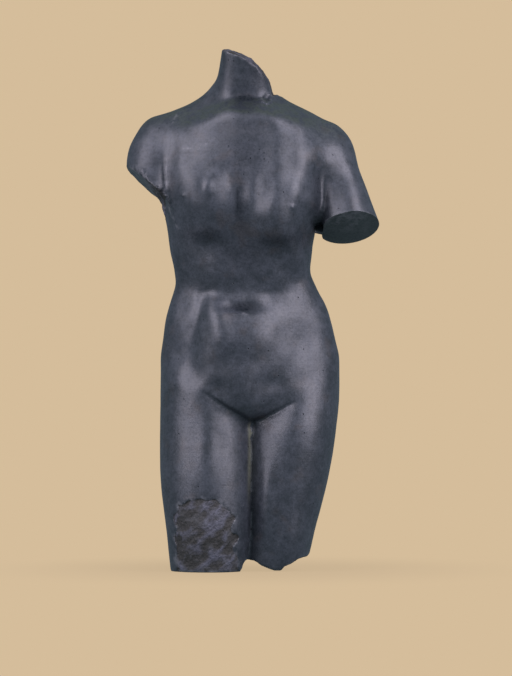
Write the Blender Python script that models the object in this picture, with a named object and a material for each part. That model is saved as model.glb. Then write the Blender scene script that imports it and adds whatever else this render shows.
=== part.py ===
"""Torso of a standing woman carved in dark stone, broken off at the neck, the arms and above the knees.

One piece of stone. It faces -Y and stands on the flat cut of its right thigh and on the lowest tip of
the left one. The form is one field, the distance to the surface, put together from sections, limbs and
rounded masses like the clay of a sculptor's model. Lengths are in millimetres, and MM makes them metres.
"""

import math
from typing import NamedTuple

import bmesh
import bpy
import numpy as np

MM = 0.001

STEP = 4.0  # spacing of the grid that the surface is found on
LOW = (-258, -150, -58)  # box around the torso
HIGH = (258, 150, 1014)
TRIANGLES = 9400


def smooth(t):
    """0 below 0 and 1 above 1, with a smooth step between."""
    t = np.clip(t, 0, 1)
    return t * t * (3 - 2 * t)


def beside(q, ends):
    """Distance of the points q to a path, the side of it that they are on, and how far along it they are."""
    corners = np.array(ends, float)
    lengths = np.linalg.norm(np.diff(corners, axis=0), axis=1)
    walked = np.concatenate([[0], np.cumsum(lengths)]) / lengths.sum()
    gap, side, place = np.full(len(q), np.inf), np.zeros(len(q)), np.zeros(len(q))
    for i, (a, b) in enumerate(zip(corners[:-1], corners[1:])):
        way, away = b - a, q - a
        t = np.clip(away @ way / lengths[i] ** 2, 0, 1)
        here = np.sqrt(((away - t[:, None] * way) ** 2).sum(1))
        nearer = here < gap
        gap[nearer] = here[nearer]
        side[nearer] = np.sign(way[0] * away[:, 1] - way[1] * away[:, 0])[nearer]
        place[nearer] = (walked[i] + (walked[i + 1] - walked[i]) * t)[nearer]
    return gap, side, place


class Section(NamedTuple):
    """One level of a lofted form: its edges as seen from the front and from the side."""

    z: float
    left: float  # towards -X, the figure's right
    right: float
    front: float  # towards -Y
    back: float


class Swell(NamedTuple):
    """A soft swelling seen from the front, or a hollow where its height is negative."""

    x: float
    z: float
    height: float
    wide: float
    above: float
    below: float

    def reach(self):
        """Lowest and highest corner, in XZ, of what it touches."""
        size = 2.6 * np.array((self.wide, max(self.above, self.below)))
        return np.array((self.x, self.z)) - size, np.array((self.x, self.z)) + size

    def weight(self, p):
        """1 at the centre, fading over the spreads."""
        x, z = p[:, 0] - self.x, p[:, 2] - self.z
        tall = np.where(z > 0, self.above, self.below)
        return np.exp(-(((x / self.wide) ** 2 + (z / tall) ** 2) ** 1.25))


class Stroke(NamedTuple):
    """A line drawn on the form through (x, z) points; each end fades over a share of its length."""

    points: tuple
    height: float
    width: float
    fade_in: float = 0.3
    fade_out: float = 0.3

    def reach(self):
        """Lowest and highest corner, in XZ, of what it touches."""
        return np.min(self.points, 0) - 3 * self.width, np.max(self.points, 0) + 3 * self.width

    def weight(self, p):
        """1 along its middle, fading over its width and towards its ends."""
        gap, _, place = beside(p[:, [0, 2]], self.points)
        fade = smooth(place / self.fade_in) * smooth((1 - place) / self.fade_out)
        return np.exp(-((gap / self.width) ** 2)) * fade


class Fold(NamedTuple):
    """A line where the form on the left of its path stands out over the form on its right."""

    points: tuple
    height: float
    width: float
    spread: float
    fade_in: float = 0.3
    fade_out: float = 0.3

    def reach(self):
        """Lowest and highest corner, in XZ, of what it touches."""
        return np.min(self.points, 0) - self.spread, np.max(self.points, 0) + self.spread

    def weight(self, p):
        """1 on the brow of the fold, dropping over its width and fading over its spread."""
        gap, side, place = beside(p[:, [0, 2]], self.points)
        across = gap * side
        fade = smooth(place / self.fade_in) * smooth((1 - place) / self.fade_out)
        return smooth(across / self.width + 0.5) * smooth(1 - across / self.spread) * fade


SQUARENESS = 2.1  # of the sections: 2 is an ellipse

TRUNK = (
    Section(275, -34, 22, -52, 30),
    Section(300, -72, 48, -86, 70),  # crotch
    Section(330, -118, 98, -103, 92),
    Section(365, -148, 138, -108, 102),  # groin
    Section(400, -168, 158, -109, 104),
    Section(440, -172, 158, -108, 97),  # fullest part of the belly
    Section(480, -168, 150, -104, 86),
    Section(514, -159, 137, -96, 75),  # navel
    Section(530, -154, 127, -90, 71),
    Section(546, -150, 119, -88, 68),  # fold above the navel
    Section(572, -152, 108, -95, 67),  # waist
    Section(610, -159, 110, -103, 74),
    Section(650, -164, 119, -107, 86),  # under the breasts
    Section(700, -173, 124, -109, 98),
    Section(750, -174, 130, -104, 104),  # armpits
    Section(800, -168, 126, -91, 106),
    Section(840, -146, 106, -77, 98),
    Section(878, -92, 52, -60, 88),  # collar bones
    Section(912, -46, 10, -42, 80),
    Section(952, -36, 4, -14, 60),
)

RIGHT_THIGH = (
    Section(-40, -154, -20, -110, 22),
    Section(0, -158, -14, -114, 30),
    Section(76, -166, -4, -119, 50),
    Section(168, -177, 0, -120, 70),
    Section(260, -179, 1, -114, 90),
    Section(353, -176, 2, -101, 104),
    Section(430, -166, -20, -90, 96),
)

LEFT_THIGH = (
    Section(-40, -30, 84, -66, 58),
    Section(30, -26, 106, -74, 66),
    Section(76, -22, 118, -81, 74),
    Section(168, -18, 142, -90, 84),
    Section(260, -14, 158, -95, 100),
    Section(353, -8, 164, -88, 108),
    Section(430, 14, 152, -80, 98),
)

FRONT_SWELLS = (
    Swell(-92, 712, 22, 56, 74, 68),  # right breast
    Swell(52, 699, 22, 56, 78, 68),  # left breast
    Swell(-58, 742, 1, 24, 26, 30),  # their inner slopes
    Swell(12, 724, 1.5, 22, 26, 30),
    Swell(-90, 640, -2.5, 34, 17, 15),  # their lower edges
    Swell(49, 628, -2.5, 36, 17, 15),
    Swell(-135, 716, 1.5, 7, 7, 7),  # nipples
    Swell(76, 692, 1.5, 7, 7, 7),
    Swell(-16, 898, -9, 24, 20, 24),  # pit of the throat
    Swell(-79, 606, 2.5, 26, 20, 18),  # edge of the ribs
    Swell(-14, 436, 11, 76, 90, 80),  # belly
    Swell(-60, 496, 2.5, 30, 28, 40),
    Swell(24, 496, 1.5, 26, 28, 40),
    Swell(82, 500, 4, 46, 38, 110),  # flanks
    Swell(-130, 496, 4, 24, 38, 100),
    Swell(110, 795, 10, 34, 66, 66),  # chest before the arms
    Swell(-148, 795, 8, 30, 60, 60),
    Swell(98, 416, 2.5, 20, 30, 30),  # crest of the hip
    Swell(-116, 366, 4, 24, 22, 26),
    Swell(-20, 502, -8, 33, 12, 11),  # navel
    Swell(-22, 487, 1.5, 26, 5, 6),
)

FRONT_STROKES = (
    Stroke(((-112, 353), (-64, 322), (-33, 303), (-4, 284)), -2, 3.5, 0.35, 0.02),  # groin
    Stroke(((86, 328), (47, 306), (17, 291), (-4, 284)), -2, 3.5, 0.3, 0.02),
    Stroke(((-92, 552), (-96, 520), (-103, 490), (-114, 460), (-119, 425), (-108, 384)), -4, 13, 0.3, 0.5),
    Stroke(((-22, 640), (-23, 580), (-23, 530)), -1.5, 14, 0.5, 0.5),  # midline
    Stroke(((-24, 775), (-25, 740), (-24, 690), (-22, 630)), -4.5, 10, 0.35, 0.4),  # between the breasts
    Stroke(((-173, 835), (-172, 780), (-171, 715)), -3, 4, 0.4, 0.2),  # in front of the right armpit
    Stroke(((-164, 815), (-165, 770), (-164, 725)), 2.5, 4, 0.4, 0.4),
    Stroke(((137, 795), (135, 720), (131, 640)), -9, 9, 0.6, 0.1),  # in front of the left armpit
)

FRONT_FOLDS = (
    Fold(((8, 284), (-33, 305), (-64, 324), (-112, 355)), -5, 7, 48, 0.1, 0.5),  # belly over the thighs
    Fold(((100, 336), (47, 308), (17, 293), (-14, 284)), -5, 7, 48, 0.5, 0.1),
    Fold(
        ((102, 549), (64, 546), (34, 529), (-14, 540), (-44, 528), (-70, 527), (-104, 538), (-144, 541)),
        2.5, 18, 100, 0.15, 0.15,
    ),  # belly under the waist
)

BACK_SWELLS = (
    Swell(-54, 540, 5, 28, 90, 70),  # muscles beside the spine
    Swell(16, 540, 5, 28, 90, 70),
)

BACK_STROKES = (
    Stroke(((-20, 880), (-21, 760), (-17, 620), (-18, 520), (-14, 440)), -8, 18, 0.2, 0.2),  # spine
    Stroke(((-14, 440), (-12, 340), (-9, 262)), -9, 9, 0.2, 0.2),
    Stroke(((-12, 258), (-70, 252), (-140, 266)), -5, 14, 0.3, 0.6),  # folds under the buttocks
    Stroke(((-4, 256), (56, 250), (124, 264)), -5, 14, 0.3, 0.6),
)

ARM_CUT = ((184, -30, 656), (0.144, -0.49, -0.86))  # a point of the sawn face and the way it faces
ARM_END = ((120, -200, 560), (300, 100, 760))  # box that holds the end of the arm and nothing else
FOOT_CUT = ((0, 0, 0), (0, 0, -1))

PATCH = (  # outline of the rough patch on the right thigh, (x, z)
    (-141, -30), (-141, 104), (-136, 123), (-122, 129), (-106, 135), (-87, 132), (-68, 133), (-52, 122),
    (-44, 107), (-42, 80), (-40, 49), (-34, 18), (-31, -30), (-141, -30),
)
LEFT_BREAK = (  # lower edge of the broken left thigh, (x, z)
    (-60, 0), (-25, 0), (-19, 16), (-13, 22), (1, 18), (17, 9), (40, -1),
    (52, -1), (59, 7), (74, 14), (86, 22), (103, 26), (112, 36),
)


def along(z, sections, field):
    """A smooth curve through one edge of the sections, read at the heights z."""
    knots = np.array([s.z for s in sections], float)
    values = np.array([getattr(s, field) for s in sections], float)
    slopes = np.gradient(values, knots)
    i = np.clip(np.searchsorted(knots, z) - 1, 0, len(knots) - 2)
    span = knots[i + 1] - knots[i]
    t = np.clip((z - knots[i]) / span, 0, 1)
    start = values[i] * (1 + 2 * t) * (1 - t) ** 2 + slopes[i] * span * t * (1 - t) ** 2
    end = values[i + 1] * t**2 * (3 - 2 * t) + slopes[i + 1] * span * t**2 * (t - 1)
    return start + end


def loft(p, sections, squareness, rounding):
    """Distance to a stack of rounded-square sections, closed at both ends over the rounding."""
    z = p[:, 2]
    left, right, front, back = (along(z, sections, f) for f in Section._fields[1:])
    a, b = (right - left) / 2, (back - front) / 2
    x = np.abs(p[:, 0] - (left + right) / 2) / a
    y = np.abs(p[:, 1] - (front + back) / 2) / b
    n = squareness
    r = np.maximum((x**n + y**n) ** (1 / n), 0.2)
    steep = np.sqrt((x ** (n - 1) / a) ** 2 + (y ** (n - 1) / b) ** 2) / r ** (n - 1)
    side = (r - 1) / np.maximum(steep, 0.5 / np.maximum(a, b))
    top = z - sections[-1].z
    bottom = sections[0].z - z
    return overlap(side, overlap(top, bottom, 1.0), rounding)


def blend(a, b, k):
    """Union of two forms whose joint is filled over the width k."""
    h = np.maximum(k - np.abs(a - b), 0) / k
    return np.minimum(a, b) - h**3 * k / 6


def overlap(a, b, k):
    """What two forms have in common, its edge rounded over the width k."""
    return -blend(-a, -b, k)


def turned(p, centre, lean):
    """Points in the frame of a mass leaned sideways about Y, in degrees."""
    q = p - np.array(centre, float)
    c, s = math.cos(math.radians(lean)), math.sin(math.radians(lean))
    return np.stack([c * q[:, 0] - s * q[:, 2], q[:, 1], s * q[:, 0] + c * q[:, 2]], 1)


def mass(p, centre, radii, lean=0.0):
    """Distance to an ellipsoid."""
    q = turned(p, centre, lean) / np.array(radii, float)
    near = np.sqrt((q**2).sum(1))
    steep = np.sqrt(((q / np.array(radii, float)) ** 2).sum(1))
    return near * (near - 1) / np.maximum(steep, 1e-9)


def limb(p, start, end, r_start, r_end):
    """Distance to a rounded tapering limb from start to end."""
    a, b = np.array(start, float), np.array(end, float)
    t = np.clip((p - a) @ (b - a) / ((b - a) @ (b - a)), 0, 1)
    nearest = a + t[:, None] * (b - a)
    return np.sqrt(((p - nearest) ** 2).sum(1)) - (r_start + (r_end - r_start) * t)


def in_front(p, y=-10.0, width=14.0):
    """1 on the front of the figure and 0 on its back."""
    return 1 / (1 + np.exp(np.clip((p[:, 1] - y) / width, -30, 30)))


def scoops(p, size):
    """Hollows like those of flaked stone: 1 in their middles, 0 on the ridges between them."""
    cell = np.floor(p / size)
    nearest = np.full(len(p), np.inf)
    for i in range(27):
        corner = cell + np.array([i % 3 - 1, i // 3 % 3 - 1, i // 9 - 1])
        seed = corner @ np.array([[127.1, 269.5, 419.2], [311.7, 183.3, 371.9], [74.7, 246.1, 168.2]])
        point = (corner + np.modf(np.abs(np.sin(seed) * 43758.5))[0]) * size
        nearest = np.minimum(nearest, ((p - point) ** 2).sum(1))
    return np.clip(1 - np.sqrt(nearest) / size, 0, 1)


def flaked(p, distance, size, depth):
    """A break surface roughened by scoops of the given size and depth."""
    near = np.abs(distance) < 3 * depth + 6
    rough = np.zeros(len(p))
    rough[near] = scoops(p[near], size)
    return distance + depth * rough


def plane(p, point, normal):
    """Distance above a plane."""
    n = np.array(normal, float)
    return (p - np.array(point, float)) @ (n / np.linalg.norm(n))


def within(p, outline):
    """Distance, in XZ, outside a closed outline drawn clockwise, negative inside."""
    gap, side, _ = beside(p[:, [0, 2]], outline)
    return gap * side


def modelled(p, marks):
    """Height that swells, strokes and folds add together at the points."""
    height = np.zeros(len(p))
    q = p[:, [0, 2]]
    for mark in marks:
        low, high = mark.reach()
        near = ((q > low) & (q < high)).all(1)
        height[near] += mark.height * mark.weight(p[near])
    return height


def trunk(p):
    """Chest, waist and belly, with the shoulder blades."""
    body = loft(p, TRUNK, SQUARENESS, 30)
    for side in (-1, 1):
        shoulder_blade = mass(p, (-20 + 74 * side, 80, 784), (48, 30, 70), lean=-14 * side)
        body = blend(body, shoulder_blade, 60)
    return body


def shoulders(p, body):
    """The yoke of the shoulders, the neck and its muscles, added to the body."""
    right = limb(p, (-62, 34, 861), (-176, 24, 828), 45, 46)
    left = limb(p, (21, 34, 864), (134, 24, 819), 45, 44)
    right_slope = limb(p, (-58, 34, 902), (-114, 34, 857), 31, 28)
    left_slope = limb(p, (19, 34, 892), (85, 34, 851), 28, 26)
    body = blend(body, blend(right, right_slope, 40), 50)
    body = blend(body, blend(left, left_slope, 40), 50)
    neck = limb(p, (-20, 30, 876), (-9, -38, 1060), 55, 43)
    neck = overlap(neck, plane(p, (-16, -40, 906), (0.3, -0.92, -0.25)), 34)
    seam = 8 + 42 * smooth((np.abs(p[:, 0] + 14) - 20) / 35)
    return blend(body, neck, seam)


def stump(p):
    """The right upper arm before it broke."""
    deltoid = mass(p, (-188, 14, 785), (50, 52, 60), lean=-8)
    return blend(deltoid, limb(p, (-186, 16, 790), (-210, -36, 690), 50, 52), 30)


def stump_break(p):
    """The broken face of the right arm."""
    return flaked(p, plane(p, (-205, 14, 740), (-0.66, -0.34, -0.67)), 26, 5)


def left_arm(p):
    """The left upper arm as far as past its cut."""
    deltoid = mass(p, (140, 18, 792), (50, 52, 56), lean=24)
    return blend(deltoid, limb(p, (138, 26, 794), (193, -42, 626), 51, 59), 30)


def legs(p, body):
    """Buttocks and thighs, the right thigh a little ahead of the left, added to the body."""
    seat = blend(mass(p, (-86, 42, 346), (82, 84, 96)), mass(p, (70, 44, 340), (82, 84, 96)), 16)
    body = blend(body, seat, 80)
    right = loft(p, RIGHT_THIGH, SQUARENESS, 60)
    left = loft(p, LEFT_THIGH, SQUARENESS, 60)
    body = blend(body, blend(right, left, 14), 36)
    gap = mass(p, (-6, -104, 262), (8, 40, 22))
    return overlap(body, -gap, 6)


def relief(p):
    """Height that the relief of the front and of the back adds to the body."""
    front = in_front(p)
    forward = modelled(p, FRONT_SWELLS + FRONT_STROKES + FRONT_FOLDS)
    behind = modelled(p, BACK_SWELLS + BACK_STROKES)
    return forward * front + behind * (1 - front)


def neck_break(p):
    """The broken face of the neck."""
    return flaked(p, blend(mass(p, (-60, 20, 894), (101, 150, 108)), p[:, 2] - 913, 6), 22, 5)


def lower_break(p):
    """The broken underside of the left thigh."""
    x, z = np.array(LEFT_BREAK, float).T
    uneven = 0.06 * np.abs(p[:, 1] + 20) * smooth((p[:, 0] + 25) / 40)
    return (np.interp(p[:, 0], x, z) + uneven - p[:, 2]) * 0.85


def patch_floor(p, body):
    """The floor of the rough patch, and far below the surface everywhere else."""
    depth = 1.0 + 3.5 * smooth((p[:, 0] + 141) / 25)
    floor = np.minimum(body + depth, -np.maximum(within(p, PATCH) * 0.8, p[:, 1] + 40))
    return flaked(p, floor, 24, 3)


def stone(p):
    """Distance from the points p to the surface of the torso before its flat cuts, negative inside."""
    arm = overlap(stump(p), stump_break(p), 3)
    body = blend(shoulders(p, trunk(p)), arm, 26)
    body = blend(body, left_arm(p), 2 + 18 * smooth((p[:, 2] - 668) / 40))
    body = legs(p, body) - relief(p)
    body = overlap(body, neck_break(p), 3)
    body = overlap(body, patch_floor(p, body), 3)
    return overlap(body, lower_break(p), 2)


def sampled(low, high, step):
    """The field read at the points of a grid over a box."""
    axes = [np.arange(a, b + step, step) for a, b in zip(low, high)]
    values = np.empty([len(axis) for axis in axes])
    for i, x in enumerate(axes[0]):
        y, z = np.meshgrid(axes[1], axes[2], indexing="ij")
        points = np.stack([np.full(y.size, x), y.ravel(), z.ravel()], 1)
        values[i] = stone(points).reshape(y.shape)
    return values


def along_axis(values, axis, start, stop):
    """The values between two places on one axis."""
    cut = [slice(None)] * 3
    cut[axis] = slice(start, stop)
    return values[tuple(cut)]


def skin(values, low, step):
    """Corners and four-sided faces of the surface where the sampled field changes sign."""
    cells = np.array(values.shape) - 1
    total, count = np.zeros((*cells, 3)), np.zeros(cells)
    crossed = []
    for axis in range(3):
        a, b = along_axis(values, axis, 0, -1), along_axis(values, axis, 1, None)
        changes = (a < 0) != (b < 0)
        crossed.append((changes, a < 0))
        place = np.stack(np.indices(a.shape), -1).astype(float)
        place[..., axis] += np.where(changes, a / np.where(changes, a - b, 1), 0)
        place[~changes] = 0
        u, v = (axis + 1) % 3, (axis + 2) % 3
        for du in (0, 1):
            for dv in (0, 1):
                pick = [slice(None)] * 3
                pick[u], pick[v] = slice(du, du + cells[u]), slice(dv, dv + cells[v])
                total += place[tuple(pick)]
                count += changes[tuple(pick)]
    used = count > 0
    corners = total[used] / count[used][:, None] * step + np.array(low, float)
    index = np.full(used.shape, -1)
    index[used] = np.arange(used.sum())
    faces = []
    for axis, (changes, inside) in enumerate(crossed):
        u, v = (axis + 1) % 3, (axis + 2) % 3
        i, j, k = np.nonzero(changes)
        at = np.stack([i, j, k], 1)
        ring = []
        for du, dv in ((1, 1), (0, 1), (0, 0), (1, 0)):
            cell = at.copy()
            cell[:, u] -= du
            cell[:, v] -= dv
            ring.append(index[cell[:, 0], cell[:, 1], cell[:, 2]])
        ring = np.stack(ring, 1)
        outward = inside[i, j, k]
        faces.append(np.where(outward[:, None], ring, ring[:, ::-1]))
    return corners, np.concatenate(faces)


def settled(p, rounds=4):
    """Points moved onto the surface along the slope of the field."""
    reach = 0.5
    for _ in range(rounds):
        slope = np.stack([stone(p + d) - stone(p - d) for d in np.eye(3) * reach], 1) / (2 * reach)
        p = p - (stone(p) / np.maximum((slope**2).sum(1), 0.3))[:, None] * slope
    return p


def saw(mesh, cut, removed):
    """Cut the part of the mesh that lies in the removed box along a plane, and close it with a flat face."""
    point, normal = (np.array(value, float) for value in cut)
    low, high = np.array(removed) * MM
    faces = [face for face in mesh.faces if all(inside(vert.co, low, high) for vert in face.verts)]
    edges = {edge for face in faces for edge in face.edges}
    verts = {vert for face in faces for vert in face.verts}
    done = bmesh.ops.bisect_plane(
        mesh,
        geom=[*verts, *edges, *faces],
        dist=1e-6,
        plane_co=point * MM,
        plane_no=normal / np.linalg.norm(normal),
        clear_outer=True,
    )
    rim = [item for item in done["geom_cut"] if isinstance(item, bmesh.types.BMEdge)]
    bmesh.ops.holes_fill(mesh, edges=rim, sides=0)


def inside(place, low, high):
    """Whether a place lies in a box."""
    return all(a <= c <= b for a, c, b in zip(low, place, high))


def made_flat(mesh, cut, slack=0.4):
    """Put the corners that thinning left beside a sawn face back on it."""
    point, normal = (np.array(value, float) for value in cut)
    normal /= np.linalg.norm(normal)
    for vert in mesh.verts:
        away = (np.array(vert.co) / MM - point) @ normal
        if abs(away) < slack:
            vert.co = (np.array(vert.co) / MM - away * normal) * MM


def main():
    """Find the surface of the stone, saw its flat faces and thin it to its facets."""
    for item in list(bpy.data.objects):
        bpy.data.objects.remove(item)
    corners, faces = skin(sampled(LOW, HIGH, STEP), LOW, STEP)
    data = bpy.data.meshes.new("torso")
    data.from_pydata(corners * MM, [], faces.tolist())
    torso = bpy.data.objects.new("torso", data)
    bpy.context.scene.collection.objects.link(torso)
    bpy.context.view_layer.objects.active = torso
    torso.select_set(True)
    even = torso.modifiers.new("even", "REMESH")
    even.mode = "VOXEL"
    even.voxel_size = STEP * MM
    bpy.ops.object.modifier_apply(modifier=even.name)
    mesh = bmesh.new()
    mesh.from_mesh(data)
    for vert, place in zip(mesh.verts, settled(np.array([vert.co for vert in mesh.verts]) / MM)):
        vert.co = place * MM
    saw(mesh, FOOT_CUT, ((-300, -300, -100), (300, 300, 100)))
    saw(mesh, ARM_CUT, ARM_END)
    bmesh.ops.triangulate(mesh, faces=mesh.faces[:])
    mesh.to_mesh(data)
    thin = torso.modifiers.new("thin", "DECIMATE")
    thin.ratio = TRIANGLES / len(mesh.faces)
    bpy.ops.object.modifier_apply(modifier=thin.name)
    mesh.clear()
    mesh.from_mesh(data)
    made_flat(mesh, FOOT_CUT)
    made_flat(mesh, ARM_CUT)
    bmesh.ops.recalc_face_normals(mesh, faces=mesh.faces[:])
    mesh.to_mesh(data)
    mesh.free()
    data.materials.append(stone_finish())


def stone_finish():
    """Dark, softly polished stone."""
    material = bpy.data.materials.new("dark polished stone")
    material.use_nodes = True
    shader = material.node_tree.nodes["Principled BSDF"]
    shader.inputs["Base Color"].default_value = (0.035, 0.04, 0.048, 1)
    shader.inputs["Roughness"].default_value = 0.38
    return material


if __name__ == "__main__":
    main()
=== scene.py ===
"""A torso of dark polished stone, worked up from its plain solid and set in a soft studio.

The form is held as a field, the distance of a point to the surface, put together from lofted sections,
limbs and rounded masses. A copy of the plain solid is remeshed and settled on that field, made finer where
the stone is broken or sharply carved, sawn where the stone is sawn, and then roughened and dressed. The form
is in millimetres and in the frame of the solid; the scene is in metres.
"""

import logging
import math
from dataclasses import dataclass, field, replace
from enum import Enum
from typing import Any, Callable

import bpy
import numpy as np
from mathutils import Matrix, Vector, noise


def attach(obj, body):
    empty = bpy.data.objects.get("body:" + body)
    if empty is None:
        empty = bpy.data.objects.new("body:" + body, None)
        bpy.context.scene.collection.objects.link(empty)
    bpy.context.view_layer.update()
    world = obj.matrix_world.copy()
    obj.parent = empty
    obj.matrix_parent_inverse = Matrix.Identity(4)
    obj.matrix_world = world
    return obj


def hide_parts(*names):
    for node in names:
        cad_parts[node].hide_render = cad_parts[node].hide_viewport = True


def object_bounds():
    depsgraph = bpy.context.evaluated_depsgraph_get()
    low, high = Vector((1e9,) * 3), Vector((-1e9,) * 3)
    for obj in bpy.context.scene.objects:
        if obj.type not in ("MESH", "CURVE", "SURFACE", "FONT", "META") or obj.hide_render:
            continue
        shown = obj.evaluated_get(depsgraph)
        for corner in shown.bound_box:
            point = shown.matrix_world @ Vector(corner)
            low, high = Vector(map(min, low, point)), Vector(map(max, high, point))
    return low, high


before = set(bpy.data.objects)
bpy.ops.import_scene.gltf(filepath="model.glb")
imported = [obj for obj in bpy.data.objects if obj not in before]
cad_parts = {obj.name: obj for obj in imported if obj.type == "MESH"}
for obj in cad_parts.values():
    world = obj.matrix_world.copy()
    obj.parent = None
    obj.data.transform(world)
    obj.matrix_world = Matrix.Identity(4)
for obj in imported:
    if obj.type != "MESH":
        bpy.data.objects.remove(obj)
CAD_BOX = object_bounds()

MM = 0.001
TINY = 1e-9
LOG = logging.getLogger("torso")

Points = np.ndarray
Values = np.ndarray


# ----------------------------------------------------------------------------------------------------
# Clay: the small tools that the form is put together with

# How fast cloudy noise fades and shrinks from octave to octave, and the level and gain of its ridges
FADE, LACUNARITY, RIDGE_LEVEL, RIDGE_GAIN = 0.9, 2.1, 1.0, 2.0


def smooth(t: Values) -> Values:
    """0 below 0 and 1 above 1, with a smooth step between."""
    t = np.clip(t, 0, 1)
    return t * t * (3 - 2 * t)


def blend(a: Values, b: Values, k: float | Values) -> Values:
    """Union of two forms whose joint is filled over the width k."""
    h = np.maximum(k - np.abs(a - b), 0) / k
    return np.minimum(a, b) - h**3 * k / 6


def overlap(a: Values, b: Values, k: float) -> Values:
    """What two forms have in common, its edge rounded over the width k."""
    return -blend(-a, -b, k)


def inside(p: Points, box: tuple) -> np.ndarray:
    """Which points lie between the low and the high corner of the box."""
    low, high = np.array(box, float)
    return ((p > low) & (p < high)).all(1)


def in_front(p: Points, y: float = -10.0, width: float = 14.0) -> Values:
    """1 on the front of the figure and 0 on its back."""
    return 1 / (1 + np.exp(np.clip((p[:, 1] - y) / width, -30, 30)))


@dataclass(frozen=True)
class Ease:
    """A value that passes smoothly from low to high over a span."""

    start: float
    span: float
    low: float = 0.0
    high: float = 1.0

    def at(self, place: Values) -> Values:
        """The value at each place."""
        return self.low + (self.high - self.low) * smooth((place - self.start) / self.span)


@dataclass(frozen=True)
class Mass:
    """An ellipsoid, leaned sideways about Y by so many degrees."""

    centre: tuple
    radii: tuple
    lean: float = 0.0

    def distance(self, p: Points) -> Values:
        """Measure how far points are from the surface.

        Args:
            p: points in millimetres.

        Returns:
            The distances, negative inside.
        """
        c, s = math.cos(math.radians(self.lean)), math.sin(math.radians(self.lean))
        radii = np.array(self.radii, float)
        away = p - np.array(self.centre, float)
        x, z = c * away[:, 0] - s * away[:, 2], s * away[:, 0] + c * away[:, 2]
        q = np.stack([x, away[:, 1], z], 1) / radii
        near = np.sqrt((q**2).sum(1))
        steep = np.sqrt(((q / radii) ** 2).sum(1))
        return near * (near - 1) / np.maximum(steep, TINY)


@dataclass(frozen=True)
class Limb:
    """A rounded limb that tapers from its start to its end."""

    start: tuple
    end: tuple
    start_radius: float
    end_radius: float

    def distance(self, p: Points) -> Values:
        """Measure how far points are from the surface.

        Args:
            p: points in millimetres.

        Returns:
            The distances, negative inside.
        """
        a, b = np.array(self.start, float), np.array(self.end, float)
        t = np.clip((p - a) @ (b - a) / ((b - a) @ (b - a)), 0, 1)
        nearest = a + t[:, None] * (b - a)
        radius = self.start_radius + (self.end_radius - self.start_radius) * t
        return np.sqrt(((p - nearest) ** 2).sum(1)) - radius


@dataclass(frozen=True)
class Cut:
    """A flat cut through the stone: a point of it in millimetres, and the way it faces."""

    point: tuple
    facing: tuple

    def way(self) -> np.ndarray:
        """The way it faces, at length 1."""
        return np.array(self.facing, float) / np.linalg.norm(self.facing)

    def above(self, p: Points) -> Values:
        """How far points stand in front of the cut."""
        return (p - np.array(self.point, float)) @ self.way()


def scoops(p: Points, size: float) -> Values:
    """Find the hollows that flaked stone is made of.

    Args:
        p: points in millimetres.
        size: the width of a hollow.

    Returns:
        1 in the middle of a hollow and 0 on the ridges between them.
    """
    cell = np.floor(p / size)
    nearest = np.full(len(p), np.inf)
    for i in range(27):
        corner = cell + np.array([i % 3 - 1, i // 3 % 3 - 1, i // 9 - 1])
        seed = corner @ np.array([[127.1, 269.5, 419.2], [311.7, 183.3, 371.9], [74.7, 246.1, 168.2]])
        point = (corner + np.modf(np.abs(np.sin(seed) * 43758.5))[0]) * size
        nearest = np.minimum(nearest, ((p - point) ** 2).sum(1))
    return np.clip(1 - np.sqrt(nearest) / size, 0, 1)


def flaked(p: Points, distance: Values, size: float, depth: float) -> Values:
    """Roughen the surface of a break by scoops.

    Args:
        p: points in millimetres.
        distance: their distance to the smooth break.
        size: the width of a scoop.
        depth: how deep a scoop goes.

    Returns:
        The distance to the rough break.
    """
    near = np.abs(distance) < 3 * depth + 6
    rough = np.zeros(len(p))
    rough[near] = scoops(p[near], size)
    return distance + depth * rough


def fractal(p: Points, size: float, octaves: int) -> Values:
    """Cloudy noise about 0, with features of the given size in millimetres."""
    return np.array([noise.fractal(Vector(q), FADE, LACUNARITY, octaves) for q in p / size])


def ridges(p: Points, size: float, octaves: int) -> Values:
    """Ridged noise, about 0 in the hollows and about 1 on the crests."""
    settings = (FADE, LACUNARITY, octaves, RIDGE_LEVEL, RIDGE_GAIN)
    return np.array([noise.ridged_multi_fractal(Vector(q), *settings) for q in p / size]) / 2


@dataclass(frozen=True)
class Section:
    """One level of a lofted form: its edges as seen from the front and from the side."""

    z: float
    left: float
    right: float
    front: float
    back: float


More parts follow.
